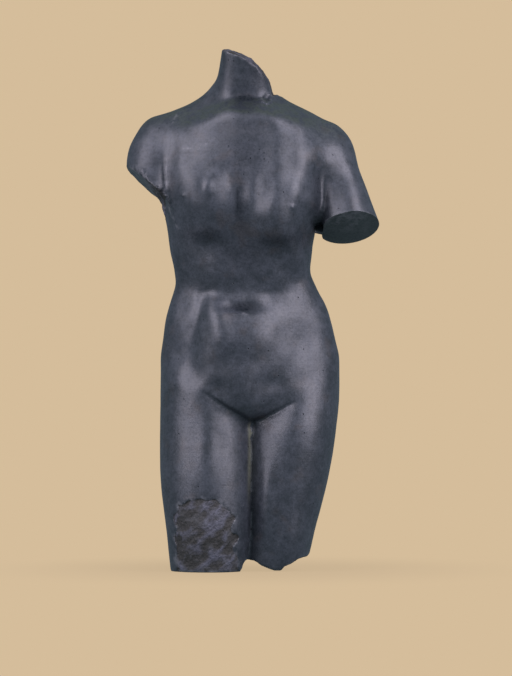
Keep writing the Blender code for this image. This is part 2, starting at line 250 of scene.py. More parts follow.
@dataclass(frozen=True)
class Loft:
    """A stack of rounded-square sections, closed at both ends over the rounding."""

    sections: tuple
    rounding: float
    squareness: float = 2.1
    core: float = 0.2

    def edge(self, z: Values, name: str) -> Values:
        """Read a smooth curve through one edge of the sections.

        Args:
            z: the heights at which it is read.
            name: the edge, as the sections name it.

        Returns:
            The place of the edge at those heights.
        """
        knots = np.array([s.z for s in self.sections], float)
        values = np.array([getattr(s, name) for s in self.sections], float)
        slopes = np.gradient(values, knots)
        i = np.clip(np.searchsorted(knots, z) - 1, 0, len(knots) - 2)
        span = knots[i + 1] - knots[i]
        t = np.clip((z - knots[i]) / span, 0, 1)
        start = values[i] * (1 + 2 * t) * (1 - t) ** 2 + slopes[i] * span * t * (1 - t) ** 2
        end = values[i + 1] * t**2 * (3 - 2 * t) + slopes[i + 1] * span * t**2 * (t - 1)
        return start + end

    def distance(self, p: Points) -> Values:
        """Measure how far points are from the surface.

        Args:
            p: points in millimetres.

        Returns:
            The distances, negative inside.
        """
        z, n = p[:, 2], self.squareness
        left, right, front, back = (self.edge(z, name) for name in ("left", "right", "front", "back"))
        a, b = (right - left) / 2, (back - front) / 2
        x = np.abs(p[:, 0] - (left + right) / 2) / a
        y = np.abs(p[:, 1] - (front + back) / 2) / b
        r = np.maximum((x**n + y**n) ** (1 / n), self.core)
        steep = np.sqrt((x ** (n - 1) / a) ** 2 + (y ** (n - 1) / b) ** 2) / r ** (n - 1)
        side = (r - 1) / np.maximum(steep, 0.5 / np.maximum(a, b))
        return overlap(side, overlap(z - self.sections[-1].z, self.sections[0].z - z, 1.0), self.rounding)


@dataclass(frozen=True)
class Swell:
    """A soft swelling seen from the front, or a hollow where its height is negative."""

    x: float
    z: float
    height: float
    wide: float
    above: float
    below: float

    def reach(self) -> tuple:
        """Lowest and highest corner, in XZ, of what it touches."""
        size = 2.6 * np.array((self.wide, max(self.above, self.below)))
        return np.array((self.x, self.z)) - size, np.array((self.x, self.z)) + size

    def weight(self, p: Points) -> Values:
        """Find how strongly it shows.

        Args:
            p: points in millimetres.

        Returns:
            1 at its centre, fading over its spreads.
        """
        x, z = p[:, 0] - self.x, p[:, 2] - self.z
        tall = np.where(z > 0, self.above, self.below)
        return np.exp(-(((x / self.wide) ** 2 + (z / tall) ** 2) ** 1.25))


def beside(q: Points, ends: tuple) -> tuple[Values, Values, Values]:
    """Find where points lie along a path.

    Args:
        q: points in XZ.
        ends: the corners of the path.

    Returns:
        The distance to the path, which side of it the point is on (1 is left of the way along it, -1 right),
        and how far along it the nearest place is, from 0 to 1.
    """
    corners = np.array(ends, float)
    lengths = np.linalg.norm(np.diff(corners, axis=0), axis=1)
    walked = np.concatenate([[0], np.cumsum(lengths)]) / lengths.sum()
    gap, side, place = np.full(len(q), np.inf), np.zeros(len(q)), np.zeros(len(q))
    for i, (a, b) in enumerate(zip(corners[:-1], corners[1:])):
        way, away = b - a, q - a
        t = np.clip(away @ way / lengths[i] ** 2, 0, 1)
        here = np.sqrt(((away - t[:, None] * way) ** 2).sum(1))
        nearer = here < gap
        gap[nearer] = here[nearer]
        side[nearer] = np.sign(way[0] * away[:, 1] - way[1] * away[:, 0])[nearer]
        place[nearer] = (walked[i] + (walked[i + 1] - walked[i]) * t)[nearer]
    return gap, side, place


def faded(place: Values, fade_in: float, fade_out: float) -> Values:
    """1 along a path and 0 at its ends, each end fading over a share of its length."""
    return smooth(place / fade_in) * smooth((1 - place) / fade_out)


@dataclass(frozen=True)
class Stroke:
    """A line drawn on the form through (x, z) points; each end fades over a share of its length."""

    points: tuple
    height: float
    width: float
    fade_in: float = 0.3
    fade_out: float = 0.3

    def reach(self) -> tuple:
        """Lowest and highest corner, in XZ, of what it touches."""
        return np.min(self.points, 0) - 3 * self.width, np.max(self.points, 0) + 3 * self.width

    def weight(self, p: Points) -> Values:
        """1 along its middle, fading over its width and towards its ends."""
        gap, _, place = beside(p[:, [0, 2]], self.points)
        return np.exp(-((gap / self.width) ** 2)) * faded(place, self.fade_in, self.fade_out)


@dataclass(frozen=True)
class Fold:
    """A line where the form on the left of its path stands out over the form on its right."""

    points: tuple
    height: float
    width: float
    spread: float
    fade_in: float = 0.3
    fade_out: float = 0.3

    def reach(self) -> tuple:
        """Lowest and highest corner, in XZ, of what it touches."""
        return np.min(self.points, 0) - self.spread, np.max(self.points, 0) + self.spread

    def weight(self, p: Points) -> Values:
        """Find how strongly it shows.

        Args:
            p: points in millimetres.

        Returns:
            1 on the brow of the fold, dropping over its width and fading over its spread.
        """
        gap, side, place = beside(p[:, [0, 2]], self.points)
        across = gap * side
        fade = faded(place, self.fade_in, self.fade_out)
        return smooth(across / self.width + 0.5) * smooth(1 - across / self.spread) * fade


def modelled(p: Points, marks: tuple) -> Values:
    """Add up swells, strokes and folds.

    Args:
        p: points in millimetres.
        marks: the swells, strokes and folds.

    Returns:
        The height that they have together at each point.
    """
    height = np.zeros(len(p))
    q = p[:, [0, 2]]
    for mark in marks:
        near = inside(q, mark.reach())
        height[near] += mark.height * mark.weight(p[near])
    return height


# The levels of the trunk and of the thighs, from the lowest up
TRUNK = (
    Section(275, -34, 22, -52, 30),
    Section(300, -72, 48, -86, 70),  # crotch
    Section(330, -118, 98, -103, 92),
    Section(365, -148, 138, -97, 102),  # groin
    Section(400, -168, 158, -97, 104),
    Section(440, -172, 158, -99, 97),  # fullest part of the belly
    Section(480, -168, 150, -93, 86),
    Section(514, -159, 137, -80, 75),  # navel
    Section(530, -154, 127, -76, 71),
    Section(546, -150, 119, -78, 68),  # fold above the navel
    Section(572, -152, 108, -83, 67),  # waist
    Section(610, -159, 110, -87, 74),
    Section(650, -164, 119, -89, 86),  # under the breasts
    Section(700, -173, 124, -91, 98),
    Section(750, -174, 130, -88, 104),  # armpits
    Section(800, -168, 126, -87, 106),
    Section(840, -146, 106, -67, 98),
    Section(878, -92, 52, -63, 88),  # collar bones
    Section(912, -46, 10, -36, 80),
    Section(952, -36, 4, -11, 60),
)

RIGHT_THIGH = (
    Section(-40, -154, -20, -110, 22),
    Section(0, -158, -14, -112, 30),
    Section(76, -166, -4, -124, 50),
    Section(168, -177, 0, -122, 70),
    Section(260, -179, 1, -108, 90),
    Section(353, -176, 2, -97, 104),
    Section(430, -166, -20, -87, 96),
)

LEFT_THIGH = (
    Section(-40, -30, 84, -66, 58),
    Section(30, -26, 106, -76, 66),
    Section(76, -22, 118, -84, 74),
    Section(168, -18, 142, -95, 84),
    Section(260, -14, 158, -94, 100),
    Section(353, -8, 164, -79, 108),
    Section(430, 14, 152, -84, 98),
)

# The relief of the front and of the back, in millimetres of height
FRONT_SWELLS = (
    Swell(-78, 731, 37.4, 72, 58, 80),  # right breast
    Swell(56, 695, 41.6, 56, 95, 83),  # left breast
    Swell(-50, 731, -7.4, 22, 28, 41),  # their inner slopes
    Swell(11, 722, -7.6, 25, 26, 33),
    Swell(-95, 638, 3.8, 36, 17, 15),  # their lower edges
    Swell(49, 629, 1.8, 36, 17, 15),
    Swell(-135, 716, 1.5, 7, 7, 7),  # nipples
    Swell(76, 692, 1.5, 7, 7, 7),
    Swell(-17, 903, -12, 22, 20, 25),  # pit of the throat
    Swell(-79, 600, 1.4, 26, 20, 18),  # edge of the ribs
    Swell(-25, 430, 15.7, 61, 60, 108),  # belly
    Swell(-74, 499, 10, 24, 28, 39),  # over the right hip
    Swell(81, 499, -8, 55, 31, 128),  # flanks
    Swell(107, 798, 21.7, 32, 84, 90),  # chest before the arms
    Swell(-149, 797, 8.3, 27, 69, 75),
    Swell(90, 421, -2.5, 20, 31, 30),  # crest of the hip
    Swell(-22, 503, -6.8, 36, 12, 10),  # navel
    Swell(-111, 839, 9.1, 53, 40, 32),  # upper chest
    Swell(58, 861, 17.7, 51, 36, 52),
    Swell(-96, 793, -6, 50, 37, 37),
    Swell(54, 795, 5.8, 29, 38, 38),
    Swell(106, 655, -6.4, 26, 38, 37),  # waist and ribs
    Swell(-20, 604, -1.5, 40, 50, 41),
    Swell(-67, 570, 5.5, 28, 30, 32),
    Swell(39, 569, 4.6, 32, 30, 27),
    Swell(-130, 583, -4.9, 26, 31, 38),
    Swell(87, 599, 10.4, 24, 39, 33),
    Swell(-141, 436, -4.3, 24, 39, 40),  # hips and lower belly
    Swell(131, 437, -7.6, 35, 54, 67),
    Swell(80, 450, -7.8, 35, 35, 38),
    Swell(-72, 431, 6, 29, 42, 44),
    Swell(-28, 364, 6.3, 44, 29, 22),
    Swell(-65, 345, -4.3, 30, 22, 22),
    Swell(34, 338, -10.1, 42, 33, 27),
    Swell(-136, 399, -9.6, 32, 31, 28),
    Swell(97, 384, -8.1, 40, 37, 38),
    Swell(-88, 228, 4.1, 20, 59, 60),  # thighs
    Swell(33, 271, -2.2, 22, 55, 55),
    Swell(85, 279, 2, 20, 51, 62),
    Swell(24, 121, 7.2, 16, 67, 60),
    Swell(78, 51, 8.8, 30, 50, 55),
    Swell(65, 851, 5.8, 39, 37, 41),  # under the throat
    Swell(-13, 830, 7.4, 40, 62, 64),
    Swell(97, 650, -0.8, 26, 40, 40),  # flanks again, narrower
    Swell(-122, 596, 5.3, 24, 40, 37),
    Swell(85, 593, 3.4, 24, 36, 34),
    Swell(70, 440, 1.7, 29, 40, 40),
    Swell(-139, 400, 2.2, 19, 30, 30),
    Swell(-120, 292, -1.4, 24, 52, 50),  # top of the right thigh
    Swell(-92, 733, 5.5, 13, 20, 20),  # breasts and armpits again, narrower
    Swell(-35, 745, -3.8, 16, 20, 24),
    Swell(16, 733, 4.1, 14, 20, 25),
    Swell(82, 724, 4, 17, 24, 24),
    Swell(-112, 758, -3.5, 22, 30, 42),
    Swell(-156, 692, -4.3, 16, 30, 30),
    Swell(115, 695, 9.8, 18, 38, 38),
    Swell(-93, 657, 1.3, 30, 20, 16),
    Swell(46, 645, 1.4, 34, 20, 16),
    Swell(4, 525, 1.8, 20, 20, 24),  # belly again, narrower
    Swell(60, 528, 1.2, 24, 20, 22),
    Swell(98, 523, 4.2, 22, 24, 26),
    Swell(-127, 504, -2.8, 16, 31, 40),
    Swell(-60, 458, 3.9, 22, 33, 34),
    Swell(25, 464, 1.6, 24, 34, 33),
    Swell(-114, 375, -5.5, 20, 24, 24),
    Swell(194, 724, 5.2, 24, 68, 50),  # left arm
    Swell(152, 795, 11.3, 46, 35, 35),
    Swell(114, 250, 1.1, 16, 60, 60),  # left thigh
)

FRONT_STROKES = (
    Stroke(((-112, 353), (-64, 322), (-33, 303), (-4, 284)), -1.7, 3.2, 0.35, 0.02),  # groin
    Stroke(((86, 328), (47, 306), (17, 291), (-4, 284)), -2.8, 4.4, 0.3, 0.02),
    Stroke(
        ((-92, 554), (-96, 522), (-103, 492), (-114, 462), (-119, 427), (-108, 386)), -6.4, 12.7, 0.3, 0.5,
    ),  # edge of the belly
    Stroke(((-22, 640), (-23, 580), (-23, 530)), -0.1, 13.8, 0.5, 0.5),  # midline
    Stroke(((-24, 775), (-25, 740), (-24, 690), (-22, 630)), 0.5, 10.9, 0.35, 0.4),  # between the breasts
    Stroke(((-171, 815), (-172, 770), (-171, 705)), -2.3, 7.1, 0.4, 0.2),  # in front of the right armpit
    Stroke(((134, 797), (132, 722), (128, 642)), -8.6, 10.8, 0.6, 0.1),  # in front of the left armpit
)

FRONT_FOLDS = (
    Fold(((8, 284), (-33, 305), (-64, 324), (-112, 355)), -4.9, 6.5, 48, 0.1, 0.5),  # belly over the thighs
    Fold(((100, 336), (47, 308), (17, 293), (-14, 284)), -4.8, 9, 48, 0.5, 0.1),
    Fold(
        ((102, 532), (64, 528), (34, 512), (-14, 522), (-44, 511), (-70, 510), (-104, 520), (-144, 523)),
        5.2, 38.4, 95, 0.15, 0.15,
    ),  # belly under the waist
)

BACK_SWELLS = (
    Swell(-54, 540, 5, 28, 90, 70),  # muscles beside the spine
    Swell(16, 540, 5, 28, 90, 70),
)

BACK_STROKES = (
    Stroke(((-20, 880), (-21, 760), (-17, 620), (-18, 520), (-14, 440)), -8, 18, 0.2, 0.2),  # spine
    Stroke(((-14, 440), (-12, 340), (-9, 262)), -9, 9, 0.2, 0.2),
    Stroke(((-12, 258), (-70, 252), (-140, 266)), -5, 14, 0.3, 0.6),  # folds under the buttocks
    Stroke(((-4, 256), (56, 250), (124, 264)), -5, 14, 0.3, 0.6),
)

# The smallest forms, the places that need finer faces, and the pale marks, partly scratches and partly
# painted highlights on ridges and ledges
FINE_MARKS = (
    Stroke(((-136, 712), (-135, 719)), 1.2, 3.4, 0.5, 0.5),  # nipples
    Swell(76, 692, 1.1, 4, 4, 4),
    Stroke(((-45, 492), (-25, 490), (-5, 492)), 1.8, 2.6, 0.3, 0.3),  # lip of the navel
    Stroke(((13, 905), (18, 898), (26, 894), (33, 898), (35, 908), (40, 915)), 4.5, 3.4, 0.2, 0.1),  # curl
    Swell(25, 905, -2.5, 5, 6, 5),
    Stroke(((-184, 700), (-175, 695), (-166, 690)), 2.0, 2.6, 0.2, 0.2),  # ledge under the stump
    Stroke(((-163, 716), (-160, 690), (-150, 664), (-136, 642)), 0.9, 1.8, 0.2, 0.3),  # right armpit
)

FRONT_RELIEF = FRONT_SWELLS + FRONT_STROKES + FRONT_FOLDS + FINE_MARKS
BACK_RELIEF = BACK_SWELLS + BACK_STROKES

SHARP_MARKS = FRONT_STROKES[:2] + FRONT_STROKES[5:6] + (
    Swell(-20, 502, 1, 35, 14, 18),  # navel
    Swell(-135, 716, 1, 9, 9, 9),  # nipples
    Swell(76, 692, 1, 9, 9, 9),
    Swell(-19, 904, 1, 16, 26, 26),  # throat and curl
    Swell(24, 904, 1, 22, 18, 18),
    Swell(-100, 520, 1, 30, 24, 30),  # right side of the waist
)

# Pale streaks: scratches, and painted highlights along the ridge by the right armpit, on the curl and on the
# ledges of the stump
PALE_SCRATCHES_AND_HIGHLIGHTS = (
    Stroke(((-165, 800), (-166, 770), (-165, 724)), 1.3, 1.3, 0.4, 0.1),  # right armpit
    Stroke(((-163, 716), (-160, 690), (-150, 664), (-136, 642)), 0.9, 1.5, 0.1, 0.3),
    Stroke(((-130, 883), (-146, 876), (-154, 861), (-160, 846)), 1.2, 1.5, 0.2, 0.3),  # right shoulder
    Stroke(((-141, 804), (-128, 807), (-114, 806), (-103, 808), (-91, 814), (-70, 826)), 1.0, 1.7, 0.2, 0.3),
    Stroke(((-40, 493), (-25, 491), (-10, 493)), 1.0, 1.5, 0.3, 0.3),  # navel
    Stroke(((14, 904), (18, 899), (24, 896)), 0.8, 1.8, 0.2, 0.2),  # curl
    Stroke(((32, 900), (34, 908), (40, 915)), 0.9, 2.0, 0.2, 0.1),
    Stroke(((-234, 772), (-228, 761), (-221, 754)), 1.1, 2.2, 0.3, 0.3),  # stump
    Stroke(((-188, 722), (-178, 724), (-168, 721)), 0.7, 1.2, 0.2, 0.2),
    Stroke(((-184, 700), (-175, 695), (-166, 690)), 0.7, 1.4, 0.2, 0.2),
)

# Where dust lies, where shade is painted on, and where the stone is pitted; their heights are shares
DUST = (
    Swell(-5, 272, 1.1, 5, 10, 16),  # between the thighs
    Stroke(((-6, 266), (-7, 200), (-9, 110)), 0.7, 3.2, 0.05, 0.6),
)

# Painted shade: darker stone under the breasts, in the throat, navel and armpits, and over parts of chest,
# ribs, belly and neck; a negative height paints less of it
PAINTED_SHADE = (
    Swell(-93, 638, 0.43, 34, 14, 14),  # under the breasts
    Swell(49, 628, 0.38, 36, 14, 14),
    Swell(-16, 898, 0.54, 30, 20, 24),  # throat
    Swell(-20, 600, 0.38, 60, 50, 40),  # ribs
    Swell(-120, 660, 0.11, 26, 30, 40),
    Swell(95, 640, 0.48, 26, 30, 40),
    Swell(-14, 420, 0.08, 50, 40, 40),  # belly and flanks
    Swell(-150, 560, 0.12, 20, 60, 60),
    Swell(140, 400, 0.05, 20, 100, 90),
    Swell(-22, 700, 0.49, 12, 40, 50),  # middle of the chest
    Swell(-20, 800, 0.41, 40, 50, 50),
    Swell(140, 700, 0.26, 12, 60, 60),  # left armpit
    Swell(-95, 850, -0.06, 40, 26, 30),  # less on the collar bone and the right thigh
    Swell(-40, 230, -0.07, 20, 50, 60),
    Swell(-22, 502, 0.21, 34, 9, 9),  # navel
    Swell(-20, 504, 0.75, 33, 9, 8),  # navel
    Stroke(((-38, 500), (-22, 499), (-4, 500)), 0.5, 3, 0.3, 0.3),
    Stroke(((-27, 752), (-31, 715), (-27, 655)), 0.55, 5, 0.4, 0.5),  # between the breasts
    Stroke(((-158, 775), (-157, 745), (-159, 712)), 0.6, 7, 0.4, 0.3),  # beside the right armpit
    Stroke(((-172, 790), (-172, 750), (-171, 712)), 0.5, 5, 0.4, 0.2),
    Swell(-92, 643, 0.22, 38, 16, 9),  # under the breasts
    Swell(48, 632, 0.22, 38, 16, 9),
    Stroke(((-44, 903), (-12, 907), (22, 900)), 0.5, 9, 0.3, 0.3),  # pit of the throat
    Swell(-22, 903, 0.3, 12, 7, 8),
    Swell(-8, 905, 0.4, 7, 6, 6),
    Swell(26, 905, 0.7, 6, 7, 6),
    Swell(12, 950, 0.55, 34, 34, 34),  # left side of the neck
    Swell(-206, 780, 0.24, 30, 44, 50),  # stump
    Swell(-177, 716, 0.45, 9, 12, 10),
    Stroke(((121, 772), (123, 735), (122, 700), (121, 655)), 0.62, 10, 0.3, 0.1),  # beside the left armpit
)

PITTED = (
    Swell(-2, 795, 1.0, 30, 34, 40),  # chest
    Swell(84, 262, 1.0, 14, 50, 50),  # thighs
    Swell(-90, 150, 0.8, 18, 30, 22),
    Swell(-16, 336, 0.8, 26, 14, 14),  # lower belly
    Swell(-135, 320, 0.6, 20, 60, 60),
)


# ----------------------------------------------------------------------------------------------------
# Form: the torso as a sculptor sees it, facing -Y, with its right side towards -X


class Break(Enum):
    """The places where the stone is broken or chiselled rough."""

    NECK = "neck"
    STUMP = "stump"
    THIGH = "thigh"
    PATCH = "patch"


@dataclass
class TorsoForm:
    """The carved form, broken but not yet sawn."""

    trunk: Loft = Loft(TRUNK, 30)
    shoulder_blades: tuple = (Mass((-94, 80, 784), (48, 30, 70), 14), Mass((54, 80, 784), (48, 30, 70), -14))
    blade_fill: float = 60
    right_shoulder: tuple = (
        Limb((-62, 34, 861), (-176, 24, 828), 45, 46), Limb((-58, 34, 902), (-114, 34, 857), 31, 28),
    )
    left_shoulder: tuple = (
        Limb((21, 34, 864), (134, 24, 819), 45, 44), Limb((19, 34, 892), (85, 34, 851), 28, 26),
    )
    slope_fill: float = 40
    shoulder_fill: float = 50
    neck: Limb = Limb((-20, 30, 876), (-9, -38, 1060), 55, 43)
    throat: Cut = Cut((-16, -31, 906), (0.10, -0.97, -0.20))
    throat_rounding: float = 38
    neck_middle: float = -14
    neck_fill: Ease = Ease(20, 35, 34, 50)
    right_arm: tuple = (
        Mass((-188, 14, 785), (50, 52, 60), -8), Limb((-186, 16, 790), (-210, -36, 690), 50, 52),
    )
    left_arm: tuple = (
        Mass((140, 18, 792), (50, 52, 56), 24), Limb((138, 26, 794), (193, -42, 626), 51, 59),
    )
    deltoid_fill: float = 30
    right_arm_fill: float = 26
    left_arm_fill: Ease = Ease(668, 40, 2, 20)
    left_arm_gap: Mass = Mass((124.5, -22, 636), (8, 64, 31))
    arm_gap_rounding: float = 3
    buttocks: tuple = (Mass((-86, 42, 346), (82, 84, 96)), Mass((70, 44, 340), (82, 84, 96)))
    cleft_fill: float = 16
    seat_fill: float = 80
    thighs: tuple = (Loft(RIGHT_THIGH, 60), Loft(LEFT_THIGH, 60))
    groove_fill: float = 14
    hip_fill: float = 36
    thigh_gap: Mass = Mass((-6, -104, 262), (8, 40, 22))
    thigh_gap_rounding: float = 6
    arm_cut: Cut = Cut((184, -30, 656), (0.144, -0.49, -0.86))
    arm_end: tuple = ((120, -200, 560), (300, 100, 760))
    foot_cut: Cut = Cut((0, 0, 0), (0, 0, -1))
    stump_face: Cut = Cut((-205, 0, 737), (-0.66, -0.12, -0.74))
    stump_side: float = -168
    stump_edge: float = 3
    stump_reach: float = 25
    unbroken: float = -50  # a break's field where the break isn't
    stump_flakes: tuple = (22, 2.5)  # the width and the depth of its flakes
    neck_hollow: Mass = Mass((-60, 20, 894), (101, 150, 108))
    neck_level: float = 913
    neck_edge: float = 6
    neck_flakes: tuple = (22, 5)
    patch: tuple = (
        (-141, -30), (-141, 104), (-136, 123), (-122, 129), (-106, 135), (-87, 132), (-68, 133), (-52, 122),
        (-44, 107), (-42, 80), (-40, 49), (-34, 18), (-31, -30), (-141, -30),
    )
    patch_steepness: float = 0.22
    patch_depth: float = -40
    patch_rise: float = 1.0
    patch_waves: tuple = (2, 6, 1.2, 3.7)  # height and length of its rim's waves, upwards and then sideways
    patch_flakes: tuple = (30, 1.6)
    thigh_break: tuple = (
        (-60, 0), (-25, 0), (-19, 16), (-13, 22), (1, 18), (17, 9), (40, -1),
        (52, -1), (59, 7), (74, 14), (86, 22), (103, 26), (112, 36),
    )
    thigh_middle: float = -20
    thigh_unevenness: Ease = Ease(-25, 40, 0, 0.06)
    thigh_steepness: float = 0.85
    rim_edges: tuple = ((Break.NECK, 3), (Break.PATCH, 2), (Break.THIGH, 2))

    def chest(self, p: Points) -> Values:
        """Model chest, waist and belly, with shoulder blades, shoulders and neck.

        Args:
            p: points in millimetres.

        Returns:
            The distance to the trunk, still smooth.
        """
        body = self.trunk.distance(p)
        for blade in self.shoulder_blades:
            body = blend(body, blade.distance(p), self.blade_fill)
        for yoke, slope in (self.right_shoulder, self.left_shoulder):
            shoulder = blend(yoke.distance(p), slope.distance(p), self.slope_fill)
            body = blend(body, shoulder, self.shoulder_fill)
        neck = overlap(self.neck.distance(p), self.throat.above(p), self.throat_rounding)
        return blend(body, neck, self.neck_fill.at(np.abs(p[:, 0] - self.neck_middle)))

    def arm(self, p: Points, forms: tuple) -> Values:
        """One upper arm, as far as past its end."""
        shoulder, upper_arm = forms
        return blend(shoulder.distance(p), upper_arm.distance(p), self.deltoid_fill)

    def legs(self, p: Points, body: Values) -> Values:
        """Add buttocks and thighs, the right thigh a little ahead of the left.

        Args:
            p: points in millimetres.
            body: their distance to the trunk.

        Returns:
            The distance to trunk and legs together.
        """
        right_buttock, left_buttock = (buttock.distance(p) for buttock in self.buttocks)
        right_thigh, left_thigh = (thigh.distance(p) for thigh in self.thighs)
        body = blend(body, blend(right_buttock, left_buttock, self.cleft_fill), self.seat_fill)
        body = blend(body, blend(right_thigh, left_thigh, self.groove_fill), self.hip_fill)
        return overlap(body, -self.thigh_gap.distance(p), self.thigh_gap_rounding)

    def relief(self, p: Points) -> Values:
        """Height that the relief of the front and of the back adds to the body."""
        front = in_front(p)
        return modelled(p, FRONT_RELIEF) * front + modelled(p, BACK_RELIEF) * (1 - front)

    def stump_break(self, p: Points) -> Values:
        """The broken face of the right arm."""
        return flaked(p, self.stump_face.above(p), *self.stump_flakes)

    def neck_break(self, p: Points) -> Values:
        """The broken face of the neck."""
        hollow = blend(self.neck_hollow.distance(p), p[:, 2] - self.neck_level, self.neck_edge)
        return flaked(p, hollow, *self.neck_flakes)

    def lower_break(self, p: Points) -> Values:
        """The broken underside of the left thigh.

        Args:
            p: points in millimetres.

        Returns:
            How far they are below it.
        """
        x, z = np.array(self.thigh_break, float).T
        uneven = np.abs(p[:, 1] - self.thigh_middle) * self.thigh_unevenness.at(p[:, 0])
        return (np.interp(p[:, 0], x, z) + uneven - p[:, 2]) * self.thigh_steepness

    def patch_floor(self, p: Points, body: Values) -> Values:
        """Chisel the rough patch.

        Args:
            p: points in millimetres.
            body: their distance to the body.

        Returns:
            The distance to the floor of the patch, far below the surface everywhere else.
        """
        gap, side, _ = beside(p[:, [0, 2]], self.patch)
        up_height, up_length, side_height, side_length = self.patch_waves
        outside = gap * side + up_height * np.sin(p[:, 2] / up_length)
        outside = outside + side_height * np.sin(p[:, 0] / side_length)
        rim = np.maximum(outside * self.patch_steepness, p[:, 1] - self.patch_depth)
        return flaked(p, np.minimum(body + self.patch_rise, -rim), *self.patch_flakes)

    def whole(self, p: Points) -> tuple[Values, dict[Break, Values]]:
        """Put the body together, and the fields of its breaks.

        Args:
            p: points in millimetres.

        Returns:
            The distance to the unbroken body with its right arm already broken off, and each break's field.
        """
        arm, broken_arm = self.arm(p, self.right_arm), self.stump_break(p)
        body = blend(self.chest(p), overlap(arm, broken_arm, self.stump_edge), self.right_arm_fill)
        body = blend(body, self.arm(p, self.left_arm), self.left_arm_fill.at(p[:, 2]))
        body = overlap(body, -self.left_arm_gap.distance(p), self.arm_gap_rounding)
        body = self.legs(p, body) - self.relief(p)
        on_stump = (arm < body + self.stump_reach) & (p[:, 0] < self.stump_side)
        breaks = {
            Break.NECK: self.neck_break(p),
            Break.PATCH: self.patch_floor(p, body),
            Break.THIGH: self.lower_break(p),
            Break.STUMP: np.where(on_stump, broken_arm, self.unbroken),
        }
        return body, breaks

    def distance(self, p: Points) -> Values:
        """Measure how far points are from the torso before its flat cuts.

        Args:
            p: points in millimetres.

        Returns:
            The distances, negative inside.
        """
        body, breaks = self.whole(p)
        for place, edge in self.rim_edges:
            body = overlap(body, breaks[place], edge)
        return body

    def slope(self, p: Points, reach: float = 0.4) -> Points:
        """The direction in which the distance grows, with its steepness."""
        steps = np.eye(3) * reach
        return np.stack([self.distance(p + d) - self.distance(p - d) for d in steps], 1) / (2 * reach)


# ----------------------------------------------------------------------------------------------------
# Bench: modelling operators on one piece at a time


class Bench:
    """Holds one piece at a time and works on it as by hand."""

    def __init__(self, piece: bpy.types.Object) -> None:
        """Put the piece on the bench and take everything else off it."""
        self.piece = piece
        bpy.ops.object.select_all(action="DESELECT")
        piece.select_set(True)
        bpy.context.view_layer.objects.active = piece

    @staticmethod
    def _vectors(items: Any, name: str) -> Points:
        """Read one vector from each vertex or face.

        Args:
            items: the vertices or the faces.
            name: what is read from them.

        Returns:
            One row for each of them.
        """
        flat = np.empty(3 * len(items))
        items.foreach_get(name, flat)
        return flat.reshape(-1, 3)

    def points(self) -> Points:
        """The piece's vertices in millimetres."""
        return self._vectors(self.piece.data.vertices, "co") / MM

    def move(self, p: Points) -> None:
        """Put the piece's vertices at the points."""
        self.piece.data.vertices.foreach_set("co", (p * MM).ravel())
        self.piece.data.update()

    def centres(self) -> tuple[Points, Points]:
        """The middles, in millimetres, and the normals of the piece's faces."""
        faces = self.piece.data.polygons
        return self._vectors(faces, "center") / MM, self._vectors(faces, "normal")

    def select(self, chosen: np.ndarray) -> int:
        """Select these faces and nothing else.

        Args:
            chosen: for each face, whether it is one of them.

        Returns:
            How many they are.
        """
        mesh = self.piece.data
        mesh.vertices.foreach_set("select", np.zeros(len(mesh.vertices), bool))
        mesh.edges.foreach_set("select", np.zeros(len(mesh.edges), bool))
        mesh.polygons.foreach_set("select", chosen)
        bpy.context.tool_settings.mesh_select_mode = (False, False, True)
        return int(chosen.sum())

    def work(self, step: Callable[[], Any]) -> None:
        """Take one step in edit mode.

        Args:
            step: what is done there.
        """
        bpy.ops.object.mode_set(mode="EDIT")
        step()
        bpy.ops.object.mode_set(mode="OBJECT")

    def paint(self, name: str, values: Values) -> None:
        """Keep a value at every vertex under a name that materials can read."""
        layer = self.piece.data.attributes.new(name, "FLOAT", "POINT")
        layer.data.foreach_set("value", values.astype(np.float32))


# ----------------------------------------------------------------------------------------------------
# Shader maths


@dataclass(frozen=True)
class Wire:
    """One output of a shader node, on which sums read as sums."""

    shader: "Shader"
    socket: Any

    def _math(self, operation: str, *values: Any) -> "Wire":
        """A Math node on the values."""
        return self.shader.node("ShaderNodeMath", {"operation": operation}, dict(enumerate(values)))

    def __add__(self, other: Any) -> "Wire":
        """Sum."""
        return self._math("ADD", self, other)

    __radd__ = __add__

    def __sub__(self, other: Any) -> "Wire":
        """Difference."""
        return self._math("SUBTRACT", self, other)

    def __rsub__(self, other: Any) -> "Wire":
        """Difference from a number."""
        return self._math("SUBTRACT", other, self)

    def __mul__(self, other: Any) -> "Wire":
        """Product."""
        return self._math("MULTIPLY", self, other)

    __rmul__ = __mul__

    def below(self, limit: Any) -> "Wire":
        """1 where the value is below the limit and 0 elsewhere."""
        return self._math("LESS_THAN", self, limit)

    def over(self, low: float, high: float) -> "Wire":
        """0 below low and 1 above high, with a smooth step between; low may be the larger."""
        settings = {"interpolation_type": "SMOOTHSTEP", "clamp": True}
        return self.shader.node("ShaderNodeMapRange", settings, {0: self, 1: low, 2: high, 3: 0.0, 4: 1.0})

    def capped(self) -> "Wire":
        """The value kept between 0 and 1."""
        return self._math("MINIMUM", self._math("MAXIMUM", self, 0.0), 1.0)


